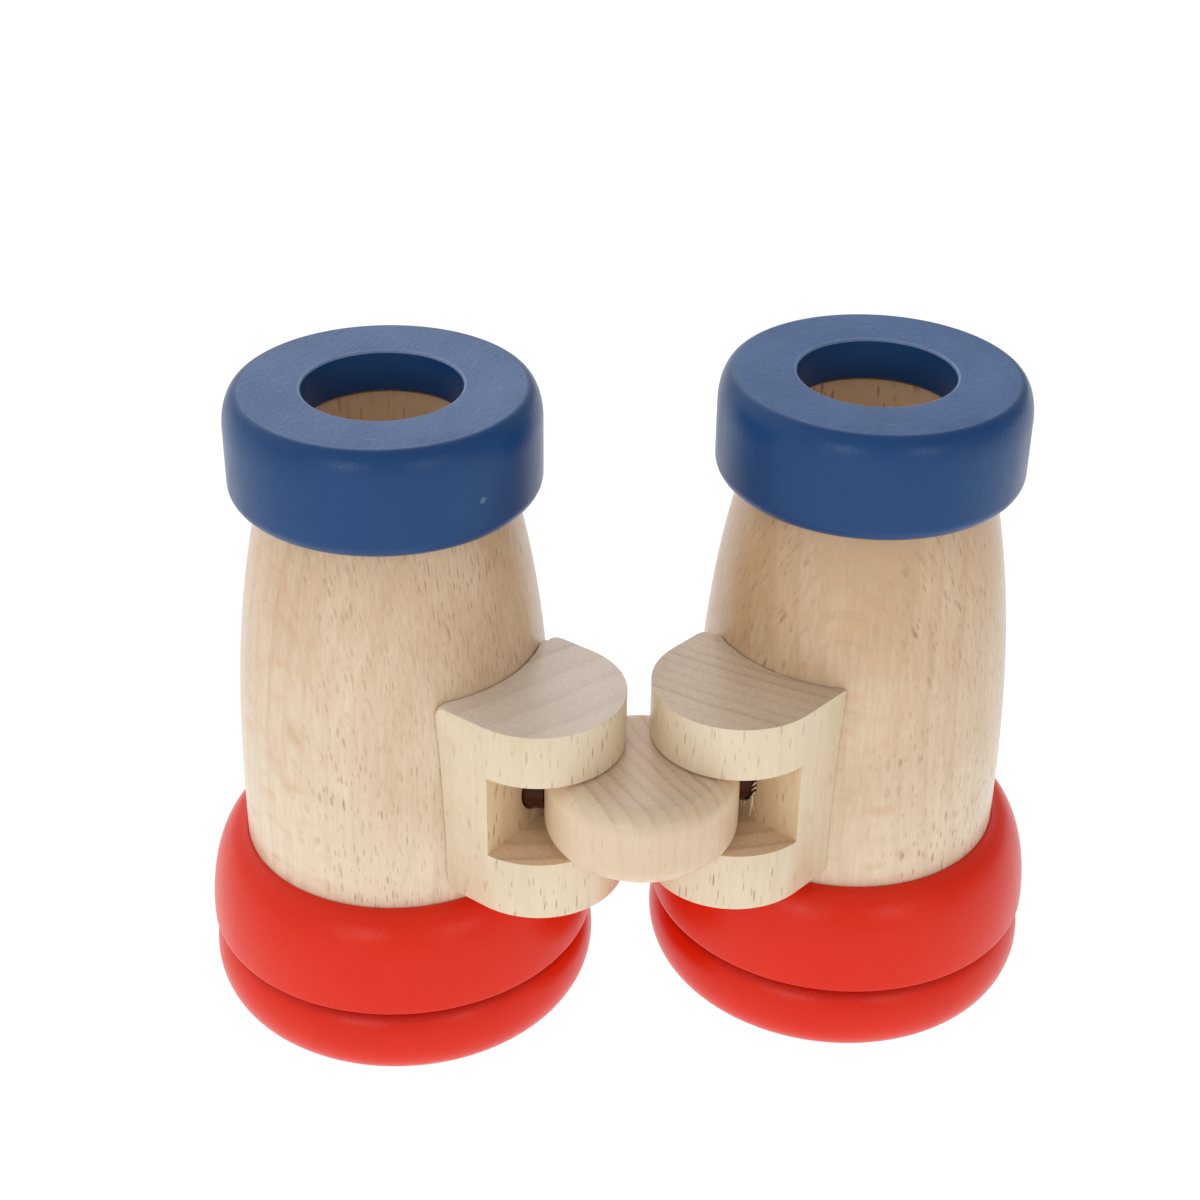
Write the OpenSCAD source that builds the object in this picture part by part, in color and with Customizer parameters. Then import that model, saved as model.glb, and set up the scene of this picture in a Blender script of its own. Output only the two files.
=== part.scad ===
// Wooden toy binoculars: two turned barrels with lacquered rings, joined by a folding bridge.
// They stand on their objective rings, +Z up, origin under the middle of the whole toy.
// The halves are mirror images, folded towards the front, which is -Y.

/* [Barrels] */
// Radius of a barrel where it enters its objective ring
barrel_base_r = 17.75; // [16.5:0.05:19]
// Radius of a barrel under its eyepiece ring
barrel_neck_r = 14; // [13:0.05:14.8]
// Height of the bare wood between the two rings
barrel_wall_h = 43.2; // [38:0.1:50]
// Radius of the bore that is looked through
sight_bore_r = 9.4; // [8.8:0.1:9.8]
// Wall of the tenon that carries the eyepiece ring
tenon_wall = 2.8; // [2:0.1:3]

/* [Eyepiece rings] */
// Outer radius of an eyepiece ring
eye_ring_r = 16.8; // [16:0.1:18.5]
// Height of an eyepiece ring
eye_ring_h = 11.9; // [10:0.1:14]
// Radius of the eye hole
eye_hole_r = 8.5; // [7:0.1:8.7]
// Thickness of the lip that covers the end of the barrel
eye_lip_h = 4.7; // [3:0.1:6]
// How far the rounding of the upper edge reaches inwards
eye_top_round_w = 1.7; // [1:0.1:2.5]
// How far the rounding of the upper edge reaches down
eye_top_round_h = 3.8; // [2:0.1:5]
// Radius of the rounding of the lower edge
eye_low_round = 1.9; // [1:0.1:2.4]

/* [Objective rings] */
// Wall of an objective ring round its barrel, at the sharp edge over its groove
objective_wall = 4.75; // [4:0.05:6]
// Height of an objective ring
objective_ring_h = 21; // [18:0.1:24]
// Height of the sharp edge over the groove
groove_edge_h = 9.5; // [8:0.1:11]
// Width of the turned groove
groove_w = 1.2; // [0.6:0.1:2]
// Depth of the turned groove
groove_depth = 1.6; // [0.8:0.1:2.2]
// How far the bead under the groove tucks in at its foot
bead_tuck = 2.8; // [2.3:0.1:4]
// Width of the flat land between the shoulder of the ring and the barrel
shoulder_land = 0.4; // [0.2:0.1:1]
// Radius of the front opening
objective_hole_r = 14.5; // [12:0.1:15.5]
// Thickness of the ledge that the barrel stands on
objective_ledge_h = 6; // [4:0.1:8]

/* [Brackets] */
// Angle between a bracket and the line through both barrels
bracket_angle = 42; // [36:1:50]
// Width of a bracket, whose nose is a half round
bracket_w = 18.8; // [16:0.1:21]
// Wood between the barrel and the back of the slot
bracket_web = 3.6; // [3:0.1:5]
// Depth of the slot from its back to the tip of the nose
slot_depth = 9; // [7:0.1:9.2]
// Height of the slot
slot_h = 10; // [8:0.1:12]
// Height of the lug under the slot
lower_lug_h = 7.2; // [5:0.1:9]
// Height of the lug over the slot
upper_lug_h = 6.4; // [5:0.1:9]
// Height of the underside of a bracket over its objective ring
bracket_foot_gap = 2.1; // [1:0.1:4]
// Gap between the noses of the two brackets
lug_gap = 2.7; // [2:0.1:5]

/* [Hinge disc] */
// Radius of the disc that both brackets turn on
disc_r = 10.45; // [9.5:0.05:12]
// Rounding of the edges of the disc
disc_edge_round = 2.6; // [1:0.1:3.5]
// Clearance between the disc and the slots, over, under and behind it
disc_play = 0.25; // [0.2:0.05:0.4]

/* [Elastic cord] */
// Radius of the elastic cord
cord_r = 2.6; // [1.8:0.1:2.7]
// Radius of the knot at each end of the cord
knot_r = 3.2; // [3:0.1:3.4]
// How far the cord hole lies in front of the middle of a bracket
cord_offset = 0.7; // [0:0.1:2]
// How far the cord hole lies under the middle of the slot
cord_drop = 0.6; // [0:0.1:0.8]

/* [Hidden] */
$fn = 96;

// Thickness of a glue line between curved faces
glue_gap = 0.05;
// Clearance round the cord in its holes, and round its knots in their pockets
cord_play = 0.25;
// Gap between the end of the cord that turns with a half and the rim of the disc
rim_gap = 0.3;
// How far every cut runs past the face that it opens
overrun = 1;
// Straight steps along each turned curve
curve_steps = 14;
// How late a barrel draws in towards its neck
barrel_draw_power = 2.5;
// Radius of the cord's bend at the slot back, as a share of the cord's own
knuckle_share = 1.12;

quarter_turn = 90;

// Heights, from the floor up
ring_top_z = objective_ring_h;
barrel_top_z = ring_top_z + barrel_wall_h;
tenon_r = sight_bore_r + tenon_wall;
tenon_h = eye_ring_h - eye_lip_h;
bracket_z = ring_top_z + bracket_foot_gap;
slot_z = bracket_z + lower_lug_h;
bracket_h = lower_lug_h + slot_h + upper_lug_h;
hinge_z = slot_z + slot_h / 2;
cord_z = hinge_z - cord_drop;

// The largest radius of an objective ring, which is turned to fit its barrel
objective_ring_r = barrel_base_r + objective_wall;

// Plan sizes of a bracket, measured from the axis of its barrel
seat_r = barrel_r_at(hinge_z);
nose_r = bracket_w / 2;
slot_back = seat_r + bracket_web;
nose_centre = slot_back + slot_depth - nose_r;

// The noses set the spacing of the barrels, and the disc seats against both slot backs
eye_spacing = 2 * (nose_centre * cos(bracket_angle) + nose_r) + lug_gap;
disc_reach = slot_back + disc_play + disc_r;
disc_front = (disc_reach - eye_spacing / 2 * cos(bracket_angle)) / sin(bracket_angle);
nose_front = nose_centre * sin(bracket_angle) + nose_r;
barrel_y = (max(disc_front + disc_r, nose_front) - objective_ring_r) / 2;
disc_y = barrel_y - disc_front;
disc_h = slot_h - 2 * disc_play;
cord_y = barrel_y - slot_back * sin(bracket_angle) - cord_offset * cos(bracket_angle);

// Radii of the objective ring
groove_floor_r = objective_ring_r - groove_depth;
bead_core_r = objective_ring_r - bead_tuck;
bead_top_angle = acos((groove_floor_r - bead_core_r) / bead_tuck);
bead_half_h = (groove_edge_h - groove_w) / (1 + sin(bead_top_angle));

// Radius of the outside of a barrel at a height in its bare wall
function barrel_r_at(z) =
    let (share = min(1, max(0, (z - ring_top_z) / barrel_wall_h)))
    barrel_base_r - (barrel_base_r - barrel_neck_r) * pow(share, barrel_draw_power);

// Points of a quarter or other stretch of an ellipse
function arc_points(centre, radii, from, to) =
    [for (i = [0 : curve_steps])
        let (a = from + (to - from) * i / curve_steps)
        [centre[0] + radii[0] * cos(a), centre[1] + radii[1] * sin(a)]];

// Outside of a barrel from the ledge to the neck, moved out by a gap
function barrel_outside(gap) = concat(
    [[barrel_base_r + gap, objective_ledge_h]],
    [for (i = [0 : curve_steps])
        let (z = ring_top_z + barrel_wall_h * i / curve_steps)
        [barrel_r_at(z) + gap, z]]);

// Frame of the left half: origin on the floor under the barrel's axis
module left_half() {
    translate([-eye_spacing / 2, barrel_y, 0])
        children();
}

// Frame of the left bracket: +X points from the barrel's axis to the nose
module along_left_bracket() {
    left_half()
        rotate([0, 0, -bracket_angle])
            children();
}

module mirrored() {
    mirror([1, 0, 0])
        children();
}

// A round bar along +X, from x to x + length
module bar_x(r, x, length) {
    translate([x, 0, 0])
        rotate([0, quarter_turn, 0])
            cylinder(r = r, h = length);
}

// A ball whose poles lie on the X axis
module ball_x(r, x) {
    translate([x, 0, 0])
        rotate([0, quarter_turn, 0])
            sphere(r = r);
}

// The left end of the cord in the frame of its bracket: through the web, then turned to the disc
module left_cord_route(r) {
    translate([0, -cord_offset, cord_z]) {
        bar_x(r, seat_r - knot_r, slot_back - seat_r + knot_r);
        ball_x(r * knuckle_share, slot_back);
        translate([slot_back, 0, 0])
            rotate([0, 0, bracket_angle])
                bar_x(r, 0, disc_r);
    }
}

module left_barrel_shape() {
    difference() {
        left_half()
            rotate_extrude()
                polygon(concat(
                    [[sight_bore_r, objective_ledge_h]],
                    barrel_outside(0),
                    [[tenon_r, barrel_top_z],
                     [tenon_r, barrel_top_z + tenon_h],
                     [sight_bore_r, barrel_top_z + tenon_h]]));
        along_left_bracket()
            translate([0, -cord_offset, cord_z])
                bar_x(knot_r + cord_play, seat_r - 2 * knot_r - cord_play, 2 * knot_r + overrun);
    }
}

module left_eyepiece_shape() {
    top = barrel_top_z + eye_ring_h;
    flat_r = eye_ring_r - eye_top_round_w;
    low_r = eye_ring_r - eye_low_round;
    left_half()
        rotate_extrude()
            polygon(concat(
                [[eye_hole_r, top]],
                arc_points([flat_r, top - eye_top_round_h], [eye_top_round_w, eye_top_round_h],
                           quarter_turn, 0),
                arc_points([low_r, barrel_top_z + eye_low_round], [eye_low_round, eye_low_round],
                           0, -quarter_turn),
                [[tenon_r + glue_gap, barrel_top_z],
                 [tenon_r + glue_gap, barrel_top_z + tenon_h],
                 [eye_hole_r, barrel_top_z + tenon_h]]));
}

module left_objective_shape() {
    shoulder_r = barrel_base_r + shoulder_land;
    left_half()
        rotate_extrude()
            polygon(concat(
                [[objective_hole_r, 0]],
                arc_points([bead_core_r, bead_half_h], [bead_tuck, bead_half_h],
                           -quarter_turn, bead_top_angle),
                [[groove_floor_r, groove_edge_h]],
                arc_points([shoulder_r, groove_edge_h],
                           [objective_ring_r - shoulder_r, objective_ring_h - groove_edge_h],
                           0, quarter_turn),
                [[barrel_base_r + glue_gap, objective_ring_h],
                 [barrel_base_r + glue_gap, objective_ledge_h],
                 [objective_hole_r, objective_ledge_h]]));
}

module left_bracket_shape() {
    difference() {
        along_left_bracket()
            translate([0, 0, bracket_z])
                linear_extrude(height = bracket_h) {
                    translate([0, -nose_r])
                        square([nose_centre, bracket_w]);
                    translate([nose_centre, 0])
                        circle(r = nose_r);
                }
        left_half()
            rotate_extrude()
                polygon(concat([[0, objective_ledge_h]], barrel_outside(glue_gap), [[0, barrel_top_z]]));
        along_left_bracket()
            translate([slot_back, -nose_r - overrun, slot_z])
                cube([slot_depth + overrun, bracket_w + 2 * overrun, slot_h]);
        along_left_bracket()
            left_cord_route(cord_r + cord_play);
    }
}

module left_cord_shape() {
    difference() {
        along_left_bracket() {
            left_cord_route(cord_r);
            translate([0, -cord_offset, cord_z])
                ball_x(knot_r, seat_r - knot_r);
        }
        translate([0, disc_y, slot_z])
            cylinder(r = disc_r + rim_gap, h = slot_h);
    }
}

module left_barrel() {
    color("burlywood") left_barrel_shape();
}

module right_barrel() {
    color("burlywood") mirrored() left_barrel_shape();
}

module left_eyepiece_ring() {
    color("steelblue") left_eyepiece_shape();
}

module right_eyepiece_ring() {
    color("steelblue") mirrored() left_eyepiece_shape();
}

module left_objective_ring() {
    color("red") left_objective_shape();
}

module right_objective_ring() {
    color("red") mirrored() left_objective_shape();
}

module left_bracket() {
    color("wheat") left_bracket_shape();
}

module right_bracket() {
    color("wheat") mirrored() left_bracket_shape();
}

// The disc, bored from side to side for the cord
module hinge_disc() {
    edge_r = disc_r - disc_edge_round;
    edge_h = disc_h / 2 - disc_edge_round;
    color("tan")
        difference() {
            translate([0, disc_y, hinge_z])
                rotate_extrude()
                    polygon(concat(
                        [[0, -disc_h / 2]],
                        arc_points([edge_r, -edge_h], [disc_edge_round, disc_edge_round], -quarter_turn, 0),
                        arc_points([edge_r, edge_h], [disc_edge_round, disc_edge_round], 0, quarter_turn),
                        [[0, disc_h / 2]]));
            translate([0, cord_y, cord_z])
                bar_x(cord_r + cord_play, -disc_r - overrun, 2 * (disc_r + overrun));
        }
}

module cord_middle() {
    color("saddlebrown")
        intersection() {
            translate([0, cord_y, cord_z])
                bar_x(cord_r, -disc_r, 2 * disc_r);
            translate([0, disc_y, slot_z])
                cylinder(r = disc_r, h = slot_h);
        }
}

module left_cord_end() {
    color("saddlebrown") left_cord_shape();
}

module right_cord_end() {
    color("saddlebrown") mirrored() left_cord_shape();
}

left_barrel();
right_barrel();
left_eyepiece_ring();
right_eyepiece_ring();
left_objective_ring();
right_objective_ring();
left_bracket();
right_bracket();
hinge_disc();
cord_middle();
left_cord_end();
right_cord_end();
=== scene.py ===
"""Looks of the wooden toy binoculars: beech barrels, lacquered rings and a folding bridge on elastic."""

import math
from collections import namedtuple

import bmesh
import bpy
from bmesh.types import BMEdge, BMFace, BMVert
from mathutils import Euler, Matrix, Vector


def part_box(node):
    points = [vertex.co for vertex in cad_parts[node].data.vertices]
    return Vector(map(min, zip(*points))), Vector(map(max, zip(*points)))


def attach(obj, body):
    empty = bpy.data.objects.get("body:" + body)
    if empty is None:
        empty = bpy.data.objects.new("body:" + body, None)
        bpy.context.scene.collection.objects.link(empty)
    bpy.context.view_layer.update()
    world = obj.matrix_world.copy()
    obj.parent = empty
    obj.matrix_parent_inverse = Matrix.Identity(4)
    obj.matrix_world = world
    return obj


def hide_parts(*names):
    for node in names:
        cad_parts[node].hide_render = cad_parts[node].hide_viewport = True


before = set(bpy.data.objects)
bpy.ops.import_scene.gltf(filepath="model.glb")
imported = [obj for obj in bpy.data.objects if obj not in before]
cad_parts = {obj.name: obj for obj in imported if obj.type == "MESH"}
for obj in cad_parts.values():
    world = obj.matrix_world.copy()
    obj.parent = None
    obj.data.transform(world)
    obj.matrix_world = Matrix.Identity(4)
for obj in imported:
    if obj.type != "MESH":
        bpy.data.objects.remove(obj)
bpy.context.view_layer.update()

# Lengths are metres, written in millimetres
MM = 0.001
SIDES = ("left", "right")
FULL_TURN = math.tau
QUARTER_TURN = math.pi / 2


def middle(node):
    """The centre of a node's box."""
    low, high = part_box(node)
    return (low + high) / 2


# Places and heights taken from the frame
BARREL_AXIS = {side: middle(f"{side}_objective_ring").xy.to_3d() for side in SIDES}
RING_LOW, RING_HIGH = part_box("left_objective_ring")
EYE_LOW, EYE_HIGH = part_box("left_eyepiece_ring")
BRACKET_LOW, BRACKET_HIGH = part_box("left_bracket")
DISC_LOW, DISC_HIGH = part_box("hinge_disc")
SHOULDER_TOP = RING_HIGH.z
BARREL_TOP = EYE_LOW.z
EYE_TOP = EYE_HIGH.z
RING_R = (RING_HIGH.x - RING_LOW.x) / 2
EYE_R = (EYE_HIGH.x - EYE_LOW.x) / 2
DISC_R = (DISC_HIGH.x - DISC_LOW.x) / 2
DISC_CENTRE = middle("hinge_disc")
CORD_Z = middle("cord_middle").z

# Barrels
BARREL_BASE_R = 17.75 * MM
BARREL_NECK_R = 13.6 * MM
BARREL_DRAW_POWER = 2.7
BARREL_WALL_STEPS = 40
SIGHT_BORE_R = 9.4 * MM
TENON_R = 12.2 * MM
TENON_GAP = 0.5 * MM
LEDGE_Z = 6.0 * MM

# Eyepiece rings
EYE_HOLE_R = 8.5 * MM
EYE_LIP = 4.7 * MM
EYE_TOP_ROUND = (1.7 * MM, 3.8 * MM)
EYE_LOW_ROUND = 1.9 * MM
EYE_ROUND_STEPS = 16
EYE_HOLE_ROUND = 0.3 * MM
EYE_HOLE_SEGMENTS = 5

# Objective rings
GROOVE_EDGE_Z = 9.5 * MM
GROOVE_W = 1.2 * MM
GROOVE_DEPTH = 1.6 * MM
GROOVE_ROUND = 0.3 * MM
GROOVE_SEGMENTS = 4
BEAD_TUCK = 2.8 * MM
BEAD_STEPS = 24
SHOULDER_LAND = 0.4 * MM
SHOULDER_STEPS = 28
FRONT_HOLE_R = 14.5 * MM

# Brackets, measured from the axis of their barrel
BRACKET_TURN = math.radians(42)
BRACKET_W = 18.8 * MM
BRACKET_WEB = 3.6 * MM
SLOT_DEPTH = 9.0 * MM
LOWER_LUG = 7.2 * MM
UPPER_LUG = 6.4 * MM
SEAT_GAP = 0.18 * MM
SEAT_STEPS = 9
NOSE_STEPS = 40
TIP_ROUND = 1.9 * MM
TIP_SEGMENTS = 6
WEDGE_ROUND = {"left": 1.8 * MM, "right": 0.5 * MM}
WEDGE_SEGMENTS = 5

# Elastic cord
CORD_R = 2.7 * MM
CORD_SIDES = 32
CORD_HOLE_R = 2.85 * MM
CORD_HOLE_SIDES = 40
CORD_OFFSET = 0.7 * MM
CORD_BEND_R = 3.1 * MM
CORD_BEND_STEPS = 10
CORD_RIM_GAP = 0.12 * MM
KNOT_R = 3.2 * MM
KNOT_SUBDIVISIONS = 3

# Fibres torn by the drill: place round the hole from its top towards the front in degrees, length, lean
SHREDS = (
    (118, 2.4 * MM, 0.1), (104, 1.0 * MM, -0.5), (132, 0.9 * MM, 0.4), (147, 0.8 * MM, -0.2),
    (90, 0.8 * MM, -0.8), (162, 0.6 * MM, 0.5), (125, 1.5 * MM, 0.6), (78, 0.7 * MM, -0.6),
)
SHRED_R = 0.15 * MM
SHRED_TIP_R = SHRED_R / 5
SHRED_SIDES = 6
SHRED_OUTWARD = 0.3

# Edges as the maker's sandpaper left them
EASED = 0.42 * MM
EASED_SEGMENTS = 3
TURNED_ARRIS = 0.18 * MM
SHARP_ANGLE = math.radians(32)
FACING_UP = 0.1

# How finely meshes are turned, cut and joined
LATHE_STEPS = 128
NEAR = 0.01 * MM
CUT_NEAR = 0.001 * MM
WELD = 0.001 * MM


# Nodes

# Noise: its waves per millimetre on each axis, how many finer layers it has, and how strong they are
Grain = namedtuple("Grain", "waves detail roughness", defaults=(0.5,))


class Socket:
    """An output of a finish's nodes. Sums of sockets and numbers add Math nodes."""

    def __init__(self, finish, link):
        self.finish = finish
        self.link = link

    def __add__(self, other):
        return self.finish.math("ADD", self, other)

    def __sub__(self, other):
        return self.finish.math("SUBTRACT", self, other)

    def __mul__(self, other):
        return self.finish.math("MULTIPLY", self, other)

    def __truediv__(self, other):
        return self.finish.math("DIVIDE", self, other)

    def __rsub__(self, other):
        return self.finish.math("SUBTRACT", other, self)

    def __rtruediv__(self, other):
        return self.finish.math("DIVIDE", other, self)

    __radd__ = __add__
    __rmul__ = __mul__

    def beside(self, output):
        """Another output of the same node."""
        return Socket(self.finish, self.link.node.outputs[output])


class NodeBench:
    """A node tree whose nodes are added one by one."""

    def __init__(self, tree):
        self.tree = tree

    def add(self, kind, settings=None, inputs=None, output=0):
        """Adds a node of a type, with its settings and then its inputs, and returns one of its outputs."""
        node = self.tree.nodes.new("ShaderNode" + kind)
        for name, value in (settings or {}).items():
            if name == "stops":
                self._set_stops(node.color_ramp, value)
            else:
                setattr(node, name, value)
        for place, value in (inputs or {}).items():
            self.feed(node.inputs[place], value)
        return Socket(self, node.outputs[output])

    def feed(self, place, value):
        """Links a socket to an input, or sets the input to a value."""
        if isinstance(value, Socket):
            self.tree.links.new(value.link, place)
        else:
            place.default_value = value

    @staticmethod
    def _set_stops(ramp, stops):
        while len(ramp.elements) < len(stops):
            ramp.elements.new(1.0)
        for element, (place, level) in zip(ramp.elements, stops):
            element.position = place
            element.color = (level, level, level, 1.0)

    def math(self, operation, *values):
        return self.add("Math", {"operation": operation}, dict(enumerate(values)))

    def absolute(self, value):
        return self.math("ABSOLUTE", value)

    def squared_above_zero(self, value):
        above = self.math("MAXIMUM", value, 0.0)
        return above * above

    def clamp(self, value):
        return self.add("Clamp", None, {"Value": value})

    def step(self, value, low, high):
        """0 below low, 1 above high, smooth between them. Low may be the greater."""
        limits = {"Value": value, "From Min": low, "From Max": high}
        return self.add("MapRange", {"interpolation_type": "SMOOTHSTEP"}, limits)

    def at_least(self, least, share):
        """From a least value up to 1 as a share goes from 0 to 1."""
        return share * (1 - least) + least

    def mix(self, share, first, second):
        """A mix of two colours."""
        return self.add("Mix", {"data_type": "RGBA"}, {0: share, 6: first, 7: second}, 2)

    def vector(self, x, y, z):
        return self.add("CombineXYZ", None, {0: x, 1: y, 2: z})

    def parts(self, vector):
        first = self.add("SeparateXYZ", None, {0: vector})
        return [first.beside(i) for i in range(3)]

    def off_axis(self, x, y):
        """The distance from the upright axis."""
        return self.math("SQRT", x * x + y * y)

    def millimetres(self, origin):
        """Object coordinates in millimetres from an origin."""
        place = self.add("TexCoord", output="Object")
        inputs = {"Vector": place, "Location": -Vector(origin) / MM, "Scale": (1 / MM,) * 3}
        return self.add("Mapping", None, inputs)

    def noise(self, axes, grain, starts=(0, 0, 0)):
        """Noise from 0 to 1 on three axes, each with its own start."""
        place = {"Vector": self.vector(*axes), "Scale": grain.waves, "Location": starts}
        inputs = {
            "Vector": self.add("Mapping", None, place), "Scale": 1.0, "Detail": grain.detail,
            "Roughness": grain.roughness,
        }
        return self.add("TexNoise", None, inputs)

    def swing(self, axes, grain, starts=(0, 0, 0)):
        """Noise about zero."""
        return self.noise(axes, grain, starts) - 0.5

    def bump(self, height, depth, strength):
        inputs = {"Height": height, "Distance": depth, "Strength": strength}
        return self.add("Bump", None, inputs)


class Finish(NodeBench):
    """A material."""

    def __init__(self, name):
        self.material = bpy.data.materials.new(name)
        self.material.use_nodes = True
        super().__init__(self.material.node_tree)
        self.shader = self.tree.nodes["Principled BSDF"]

    def surface(self, **values):
        """Sets or links inputs of the surface shader, named with underscores."""
        for name, value in values.items():
            self.feed(self.shader.inputs[name.replace("_", " ")], value)


def rgb(red, green, blue):
    """A colour given as it looks on screen, 0 to 255, as the shader's own linear values."""
    def linear(level):
        share = level / 255
        return share / 12.92 if share <= 0.04045 else ((share + 0.055) / 1.055) ** 2.4
    return (linear(red), linear(green), linear(blue), 1.0)


# Beech

# The tree's heart lies away from a piece's centre, towards a turn in degrees
Pith = namedtuple("Pith", "turn away")
# Growth rings: their gap, their lean with height, and how dark they are on sides and ends
Rings = namedtuple("Rings", "gap lean side_depth end_depth")
# Ray flecks: the millimetres of a cell round the tree and up, the fleck's reach in it, and its share of dark
Fleck = namedtuple("Fleck", "width height reach share")
SideTones = namedtuple("SideTones", "pale dark ray fleck")
EndTones = namedtuple("EndTones", "pale dark")
# The tone half way up a barrel, and how much it darkens with each millimetre of height, a painted shade
Base = namedtuple("Base", "tone rise")

FADE_Z = (SHOULDER_TOP + BARREL_TOP) / 2
PLAIN_BASE = Base(0.35, 0.0)

# Patterns on x, y and z
SWAY = Grain((0.035, 0.035, 0.03), 2.0)
DRIFT = Grain((0.06, 0.06, 0.04), 1.0)
SPECKLE = Grain((2.2, 2.2, 0.4), 3.0, 0.7)
# Patterns round the tree, out from it and up
CROWD = Grain((0.07, 0.07, 0.05), 1.0)
CLOUD = Grain((0.08, 0.08, 0.05), 2.0)
FIBRE = Grain((2.4, 1.8, 0.13), 3.0, 0.62)
# A pattern out from the tree, round it and up
BLOTCH = Grain((0.22, 0.3, 0.42), 2.0, 0.4)

# Where a face starts to be end grain, a rounded edge or quarter sawn, and where it is so wholly
END_GRAIN = (0.89, 0.97)
ROUNDED_EDGE = (0.2, 0.75)
QUARTER_SAWN = (0.82, 0.99)

# One growth ring from its first growth to its last: place and darkness
RING_STOPS = ((0.0, 0.4), (0.1, 0.0), (0.55, 0.08), (0.86, 0.7), (0.94, 1.0), (1.0, 0.4))
RING_SWAY = 5.0
RING_SHIFT = 0.37
FAINTEST_RING = 0.25

RAY_DRIFT = 1.4
FLECK_SHIFT = 5.3
FLECK_CORE = 0.5
SHORTEST_FLECK = 0.45
FAINTEST_FLECK = 0.4
FLECK_CROWD = (0.32, 0.6)
LEAST_CROWD = 0.5
QUARTER_FADE = 0.75
FLECK_DARKNESS = 0.8
BLOTCH_EDGE = (0.5, 0.72)

# How much each pattern changes the tone
CLOUD_TONE = 0.8
FIBRE_TONE = 0.5
SPECKLE_TONE = 0.45
END_SPECKLE_TONE = 0.9
END_BASE_TONE = 0.15

# Relief and gloss
FIBRE_RELIEF = 0.5
FLECK_RELIEF = 0.12
END_RELIEF = 0.6
WOOD_RELIEF = 0.06 * MM
WOOD_RELIEF_STRENGTH = 0.6
WOOD_ROUGHNESS = 0.5
ROUGHER = 0.15
OILED_COAT = 0.85
DRY_COAT = 0.3
END_COAT_LOSS = 0.1
COAT_ROUGHNESS = 0.3


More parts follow.
